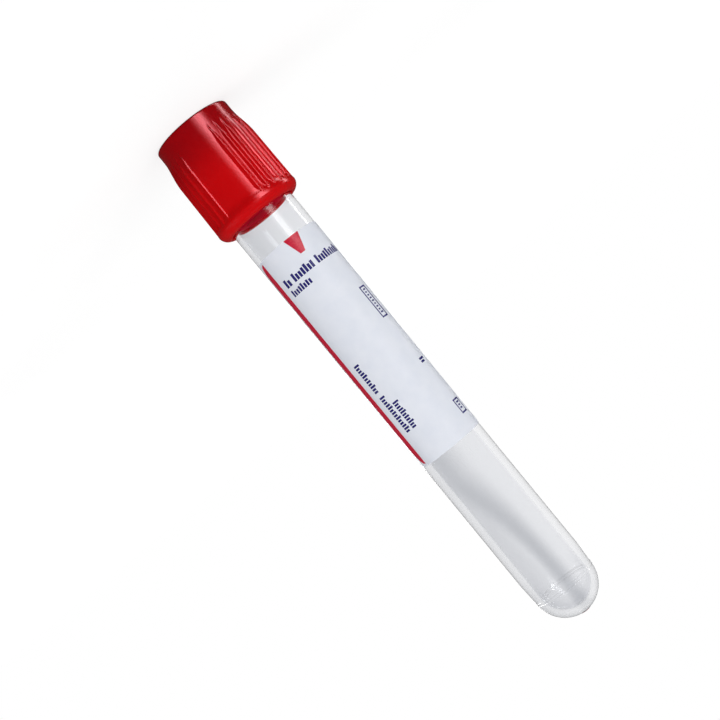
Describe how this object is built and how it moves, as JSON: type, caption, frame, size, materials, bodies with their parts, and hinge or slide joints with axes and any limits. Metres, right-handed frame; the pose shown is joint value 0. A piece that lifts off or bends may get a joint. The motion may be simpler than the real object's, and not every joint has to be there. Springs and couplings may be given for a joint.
{
  "type": "blood collection tube",
  "caption": "Clear round-bottomed blood collection tube with a paper label, standing on its ribbed red safety closure, which pulls off the rim.",
  "frame": {"origin": "centre of the closure's flat rim, which the tube stands on", "axes": "+Z along the tube's axis, from the closure to the round end; -Y faces out of the label's middle"},
  "size_m": [0.0172, 0.0172, 0.1098],
  "materials": {
    "shield_plastic": "semi-gloss moulded red plastic",
    "stopper_rubber": "matt dark red rubber",
    "clear_plastic": "clear moulded plastic",
    "label_paper": "smooth coated paper",
    "red_ink": "red ink on paper",
    "navy_ink": "navy ink on paper"
  },
  "bodies": {
    "closure": {"safety_shield": "shield_plastic", "stopper": "stopper_rubber"},
    "tube": {"tube": "clear_plastic", "label": "label_paper", "label_stripe": "red_ink", "label_triangle": "red_ink", "label_print": "navy_ink"}
  },
  "joints": [
    {"name": "closure_pull", "type": "slide", "parent": "closure", "child": "tube", "axis": [0, 0, 1], "range_m": [0, 0.035]}
  ]
}
